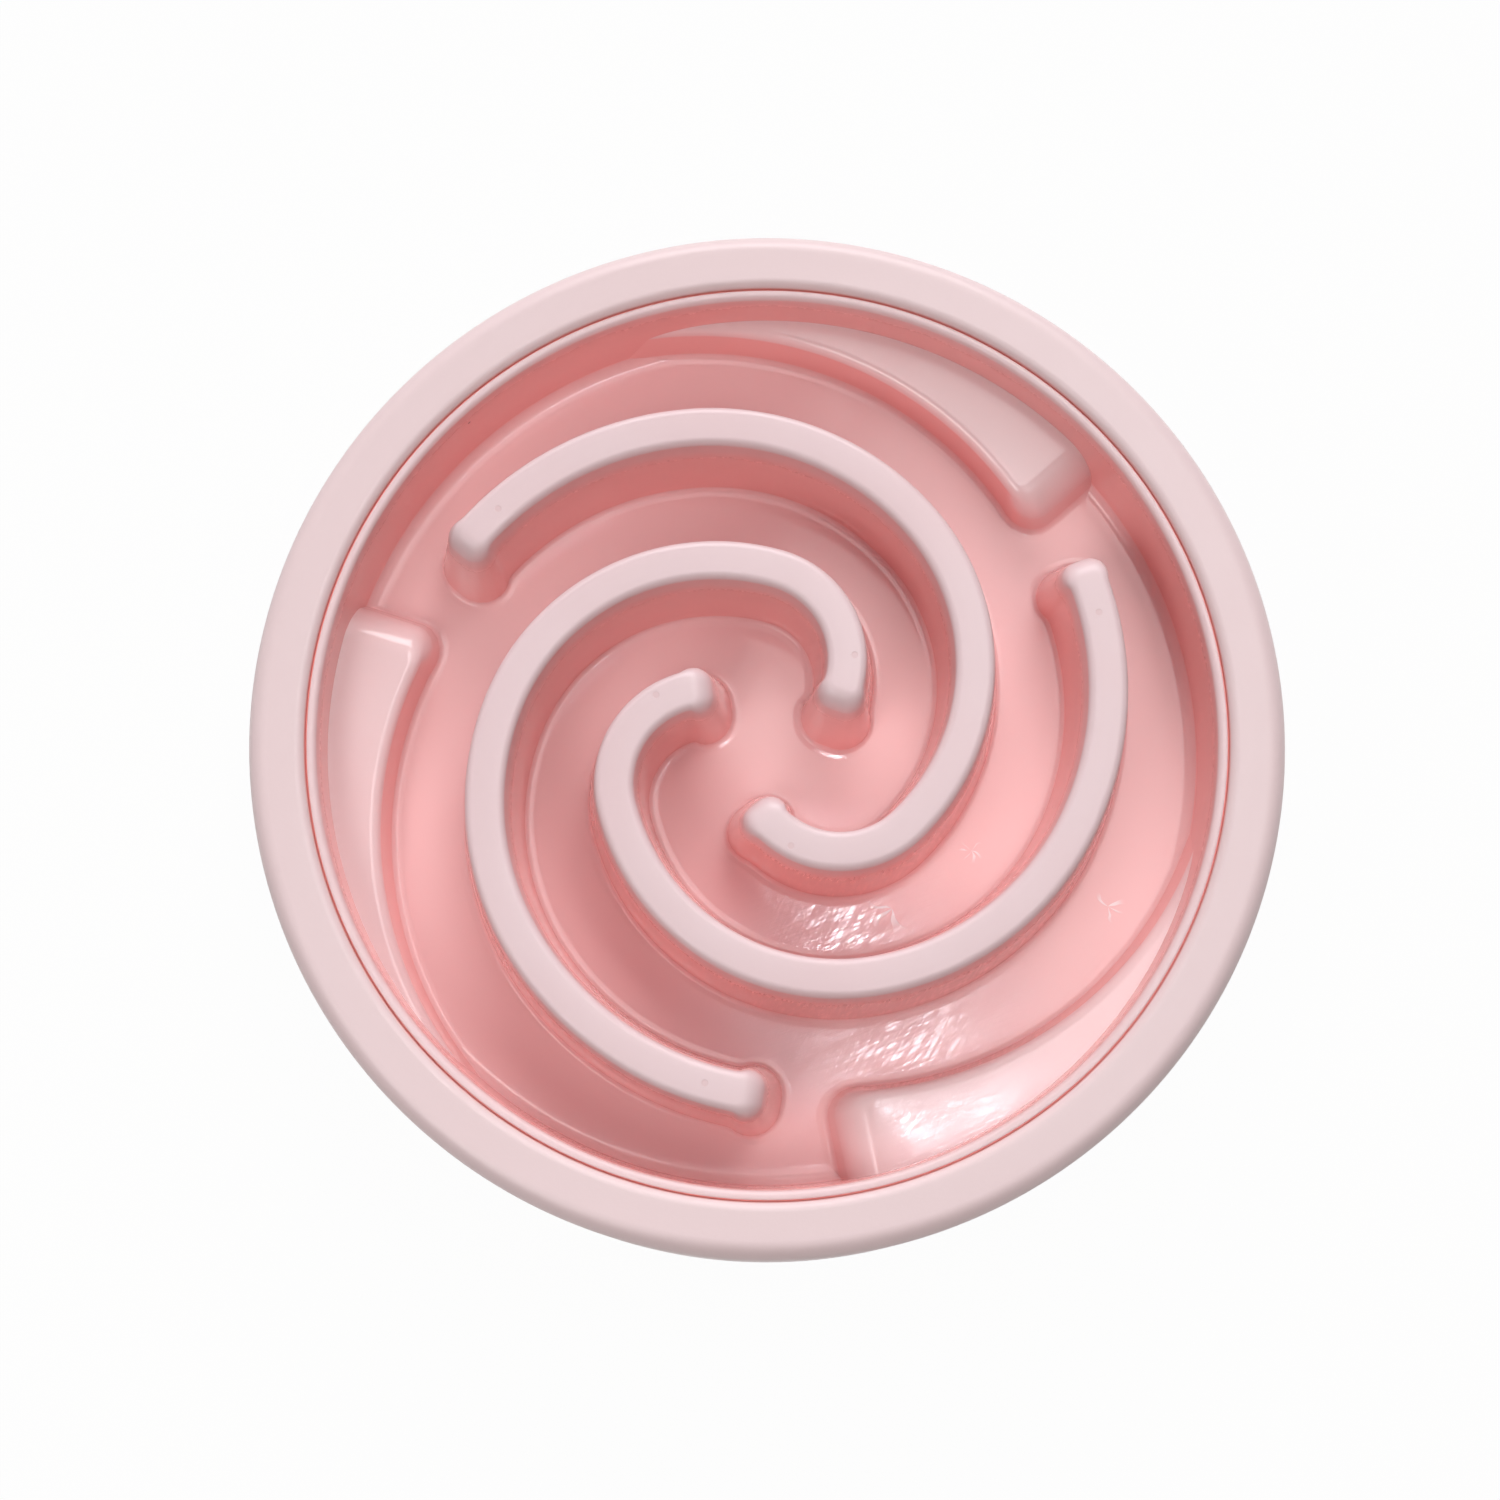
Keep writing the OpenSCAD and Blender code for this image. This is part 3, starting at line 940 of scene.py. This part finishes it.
class BOWL_OT_maze(bpy.types.Operator):
    """Build the maze insert: its pan, the spiral ridges and the shelves against the wall"""

    bl_idname = "bowl.build_maze"
    bl_label = "Build Maze Insert"

    # How far cutting forms reach past what they cut, and how much wider they are than the skins
    overrun = 1 * MM
    gap = 0.05 * MM

    def execute(self, context):
        self.stand, self.insert, self.ridges, self.shelves = sizes()
        self.levels = Levels()
        self.plastic = insert_material(context.scene.bowl_finish)
        pan = turned("maze_pan", self.pan_profile(), self.stand.segments)
        ridge_skins, ridge_cores = self.build_ridges()
        shelf_skins, shelf_cores = self.build_shelves()
        for core in (ridge_cores, shelf_cores):
            outward(core.data)
            combine(pan, core, "DIFFERENCE")
        for made in (pan, ridge_skins, shelf_skins):
            finish_piece(made, self.plastic, "insert", ["maze_insert"])
        return {"FINISHED"}

    def pan_profile(self):
        levels, insert = self.levels, self.insert
        foot_out = levels.wall(levels.insert_r, levels.seat_z)
        foot_in = levels.wall(levels.maze_r, levels.floor_z)
        groove = levels.lip_z - insert.groove
        return rounded(
            (0, levels.seat_z),
            (foot_out, levels.seat_z, insert.outer_corner, WIDE_STEPS),
            (levels.wall(levels.seam_r - insert.snug_gap, groove), groove),
            (levels.wall(levels.insert_r, groove), groove),
            (levels.insert_r, levels.lip_z, LIP_OUTER_EDGE, LIP_STEPS),
            (levels.maze_r, levels.lip_z, insert.lip_edge, insert.edge_steps),
            *cove(insert, foot_in, levels.floor_z, levels.slope, insert.corner, -1),
            (0, levels.floor_z),
        )

    def build_ridges(self):
        ridges = self.ridges
        path = spiral(self.levels, ridges)
        along = line_length(path)
        half = ridges.width / 2 - flat_reach(ridges)
        set_back = ridges.end_edge - ridges.edge - ridges.end_length
        corner = (ridges.corner, self.insert.edge_steps)
        before, after = set_back, along - set_back
        ring = [(before, -half), (after, -half), (after, half), (before, half)]
        ring = rounded(*[(*at, *corner) for at in ring], closed=True, hold=ridges.step)
        points = subdivided(ring, ridges.step)
        outs = outward_directions(points)
        ends = [abs(out.x) for out in outs]
        flat = outline_object("ridge_outline", points, outs, ends, strip_faces(points, half))
        values = {"Path": path_object("ridge_path", path), "Path Length": along}
        return self.skins_and_cores("maze_ridges", ridge_group(), flat, ridges, self.levels.ridge_z, values)

    def build_shelves(self):
        levels, shelves = self.levels, self.shelves
        edge = flat_reach(shelves)
        end_edge = edge + shelves.end_edge - shelves.edge
        centre = levels.maze_r * Vector((shelves.centre_along, shelves.centre_across))
        side_r = levels.maze_r * shelves.arc_share + edge
        outer_r = levels.insert_r + self.overrun
        first = math.asin((end_edge - centre.y) / side_r)
        # The side meets the outer radius where the triangle of the two centres closes
        reach = (outer_r**2 - centre.length_squared - side_r**2) / (2 * centre.length * side_r)
        last = math.atan2(centre.y, centre.x) - math.acos(reach)
        steps = round(side_r * (last - first) / shelves.step)
        side = [centre + side_r * direction(first + (last - first) * k / steps) for k in range(steps + 1)]
        start = math.asin(end_edge / outer_r)
        stop = math.atan2(side[-1].y, side[-1].x)
        rim = [outer_r * direction(start + (stop - start) * k / steps) for k in range(steps)]
        blunt = corner_points(side[2], side[0], rim[0], shelves.corner, self.insert.edge_steps)
        # Points of the side that are too near the rounded corner are left out
        clear = 1.5 * (blunt[0] - side[0]).length
        kept = [p for p in side[1:] if (p - side[0]).length > clear]
        straight = [blunt[-1], rim[0]]
        line = blunt + subdivided(straight, shelves.step)[1 : round(line_length(straight) / shelves.step)]
        points = line + rim + kept[::-1]
        outs = outward_directions(points)
        ends = [max(0, -out.y) ** 2 if k < len(line) else 0 for k, out in enumerate(outs)]
        ends[len(line)] = 1
        flat = outline_object("shelf_outline", points, outs, ends)
        values = {"Keep Inside": self.keep_inside(), "Turn": shelves.turn}
        return self.skins_and_cores("maze_shelves", shelf_group(), flat, shelves, levels.shelf_z, values)

    def keep_inside(self):
        """A round solid out to the middle of the insert's wall and corner."""
        levels, insert = self.levels, self.insert
        edge = levels.maze_r + insert.wall / 2
        low = levels.mid_floor_z - self.overrun / 2
        high = levels.shelf_z + self.overrun
        corner = insert.outer_corner - insert.floor / 2
        profile = rounded(
            (0, low),
            (levels.wall(edge, low), low, corner, MIDDLE_STEPS),
            (levels.wall(edge, high), high),
            (0, high),
        )
        return turned("shelf_bounds", profile, self.stand.segments)

    def skins_and_cores(self, name, tree, flat, form, top, values):
        """Runs a group twice: for the forms' skins, and for the hollows below them."""
        shared = {
            "Top": top,
            "Edge": form.edge,
            "End Edge": form.end_edge,
            "End Slope": math.tan(form.end_draft) - math.tan(form.draft),
            "Copies": self.insert.arms,
            "Material": self.plastic,
        }
        cores = link_object(name + "_cores", flat.data.copy())
        skin = skin_section(self.levels, self.insert, form, top)
        core = core_section(self.levels, form, top, self.gap, self.overrun)
        for made, points in ((flat, skin), (cores, core)):
            section = make_object(name + "_section", [(out, 0, height) for out, height in points])
            run_group(made, tree, {**shared, **values, "Section": section})
            bpy.data.objects.remove(section)
        for helper in values.values():
            if isinstance(helper, bpy.types.Object):
                bpy.data.objects.remove(helper)
        flat.name = name
        flat.data.name = name
        return flat, cores


class BOWL_OT_feet(bpy.types.Operator):
    """Build the rubber feet, each a pad with grip rings and a plug"""

    bl_idname = "bowl.build_feet"
    bl_label = "Build Feet"

    def execute(self, context):
        foot = context.scene.bowl_feet
        levels = Levels()
        rubber = rubber_material(context.scene.bowl_finish)
        profile = self.profile(foot, levels)
        for number, place in enumerate(foot_places(levels), start=1):
            made = turned(f"rubber_foot_{number}", profile, foot.segments, place)
            finish_piece(made, rubber, "stand", [f"foot_{number}"])
        return {"FINISHED"}

    def profile(self, foot, levels):
        plug_top = foot.thickness + (levels.under_z - foot.thickness) * foot.plug_share
        points = [(0, foot.ring_depth)]
        rings = int((foot.radius - 2 * foot.bevel) / foot.ring_pitch)
        for k in range(1, rings):
            at = k * foot.ring_pitch
            low, high = (0, foot.ring_depth) if k % 2 else (foot.ring_depth, 0)
            points += [(at, high), (at + foot.ring_depth, low)]
        return rounded(
            *points,
            (foot.radius, 0, foot.bevel, PAD_STEPS),
            (foot.radius, foot.thickness, foot.bevel / 4, FINE_STEPS),
            (foot.plug, foot.thickness, foot.bevel / 4, FINE_STEPS),
            (foot.plug, plug_top, foot.bevel, PAD_STEPS),
            (0, plug_top),
        )


WHITE = (1, 1, 1, 1)
FLOOR_COLOUR = (0.62, 0.59, 0.57, 1)
FLOOR_SIDES = 96
# Towards the window, level with the table, and the room's light away from it and on its side
WINDOW_SIDE = (-0.37, 0.93, 0)
DIM_SIDE = (0.08, 0.07, 0.065, 1)
BRIGHT_SIDE = (0.22, 0.22, 0.23, 1)
# The lights: place, width, height, power and colour
LIGHTS = {
    "window": ((0.2, 2.59, 1.5), 2.2, 1.4, 58, (0.97, 0.98, 1)),
    "right_softbox": ((0.7, 1.22, 2.65), 1, 1, 11, (1, 0.99, 0.98)),
    "left_softbox": ((-0.34, -0.32, 0.68), 0.38, 0.28, 1.75, (1, 0.99, 0.98)),
    "front_softbox": ((1.08, -0.9, 2.65), 1, 1, 5, (1, 0.98, 0.97)),
    "ceiling": ((0.3, 0.28, 1.5), 0.6, 0.6, 3, (1, 1, 1)),
    "lamp": ((0.091, 0.044, 1.51), 0.08, 0.065, 0.66, (0.84, 0.93, 1)),
}


class BOWL_OT_stage(bpy.types.Operator):
    """Set up the pale floor, the studio lights and the camera"""

    bl_idname = "bowl.build_stage"
    bl_label = "Build Stage"

    def execute(self, context):
        stage = context.scene.bowl_stage
        context.scene.view_settings.view_transform = "Standard"
        self.floor(stage)
        self.world()
        self.lights()
        self.camera(stage, Levels())
        return {"FINISHED"}

    def floor(self, stage):
        """A plain disc that looks white, but still shows the bowl's shadow."""
        turns = [2 * math.pi * k / FLOOR_SIDES for k in range(FLOOR_SIDES)]
        ring = [(stage.floor_radius * direction(turn)).to_3d() for turn in turns]
        made = make_object("floor", ring, [list(range(FLOOR_SIDES))])
        paint = bpy.data.materials.new("floor_paint")
        paint.use_nodes = True
        graph = Graph(paint.node_tree)
        plain = graph.get("ShaderNodeBsdfDiffuse", {"Color": FLOOR_COLOUR})
        white = graph.get("ShaderNodeEmission", {"Color": WHITE, "Strength": 1})
        seen = self.seen(graph) * stage.floor_white
        mixed = graph.get("ShaderNodeMixShader", {0: seen, 1: plain, 2: white})
        graph.add("ShaderNodeOutputMaterial", {"Surface": mixed})
        made.data.materials.append(paint)

    def seen(self, graph):
        """1 for rays from the camera, straight or by way of gloss or glass."""
        node = graph.add("ShaderNodeLightPath")
        kinds = ("Is Camera Ray", "Is Glossy Ray", "Is Transmission Ray")
        straight, gloss, glass = (Term(graph, node.outputs[kind]) for kind in kinds)
        return graph.math("MAXIMUM", straight, graph.math("MAXIMUM", gloss, glass))

    def world(self):
        """Soft light all round, brighter on the window's side, and white where the camera looks."""
        world = bpy.data.worlds.new("studio")
        world.use_nodes = True
        bpy.context.scene.world = world
        graph = Graph(world.node_tree)
        look = graph.get("ShaderNodeTexCoord", None, "Generated")
        side = graph.get("ShaderNodeVectorMath", {0: look, 1: WINDOW_SIDE}, "Value", operation="DOT_PRODUCT")
        tint = graph.mix(graph.ramp(side, -0.7, 0.9), DIM_SIDE, BRIGHT_SIDE)
        light = graph.get("ShaderNodeBackground", {"Color": tint, "Strength": 1})
        white = graph.get("ShaderNodeBackground", {"Color": WHITE, "Strength": 1})
        ray = graph.get("ShaderNodeLightPath", None, "Is Camera Ray")
        mixed = graph.get("ShaderNodeMixShader", {0: ray, 1: light, 2: white})
        graph.add("ShaderNodeOutputWorld", {"Surface": mixed})

    def lights(self):
        for name, (place, wide, high, power, tint) in LIGHTS.items():
            lamp = bpy.data.lights.new(name, "AREA")
            lamp.shape = "RECTANGLE"
            lamp.size, lamp.size_y = wide, high
            lamp.energy = power
            lamp.color = tint
            made = link_object(name, lamp)
            made.location = place
            made.rotation_euler = (-Vector(place)).to_track_quat("-Z", "Y").to_euler()

    def camera(self, stage, levels):
        sight = bpy.data.cameras.new("camera")
        sight.lens = sight.sensor_width * stage.distance / stage.view_width
        made = link_object("camera", sight)
        back = Vector((0, -math.sin(stage.tilt), math.cos(stage.tilt)))
        made.location = Vector((*stage.aim, levels.lip_z)) + stage.distance * back
        made.rotation_euler.x = stage.tilt
        bpy.context.scene.camera = made


class BOWL_PT_panel(bpy.types.Panel):
    """The bowl's sizes, and a button for each piece"""

    bl_idname = "BOWL_PT_panel"
    bl_label = "Slow Feeder Bowl"
    bl_space_type = "VIEW_3D"
    bl_region_type = "UI"
    bl_category = "Feeder Bowl"

    def draw(self, context):
        for operator in OPERATORS:
            self.layout.operator(operator.bl_idname)
        for name, (group, title) in GROUPS.items():
            box = self.layout.box()
            box.label(text=title)
            for entry in group.__annotations__:
                box.prop(getattr(context.scene, name), entry)


GROUPS = {
    "bowl_stand": (StandSizes, "Stand"),
    "bowl_insert": (InsertSizes, "Insert"),
    "bowl_ridges": (RidgeSizes, "Ridges"),
    "bowl_shelves": (ShelfSizes, "Shelves"),
    "bowl_feet": (FootSizes, "Feet"),
    "bowl_finish": (FinishSettings, "Finish"),
    "bowl_stage": (StageSettings, "Stage"),
}
OPERATORS = (BOWL_OT_stand, BOWL_OT_maze, BOWL_OT_feet, BOWL_OT_stage)


def register():
    for group, _ in GROUPS.values():
        for entry, setting in group.__annotations__.items():
            setting.keywords["name"] = entry.replace("_", " ").capitalize()
        bpy.utils.register_class(group)
    for operator in OPERATORS:
        bpy.utils.register_class(operator)
    bpy.utils.register_class(BOWL_PT_panel)
    for name, (group, _) in GROUPS.items():
        setattr(bpy.types.Scene, name, PointerProperty(type=group))


def unregister():
    for name in GROUPS:
        delattr(bpy.types.Scene, name)
    bpy.utils.unregister_class(BOWL_PT_panel)
    for operator in reversed(OPERATORS):
        bpy.utils.unregister_class(operator)
    for group, _ in reversed(GROUPS.values()):
        bpy.utils.unregister_class(group)


def main():
    register()
    bpy.ops.bowl.build_stand()
    bpy.ops.bowl.build_maze()
    bpy.ops.bowl.build_feet()
    bpy.ops.bowl.build_stage()


if __name__ == "__main__":
    main()
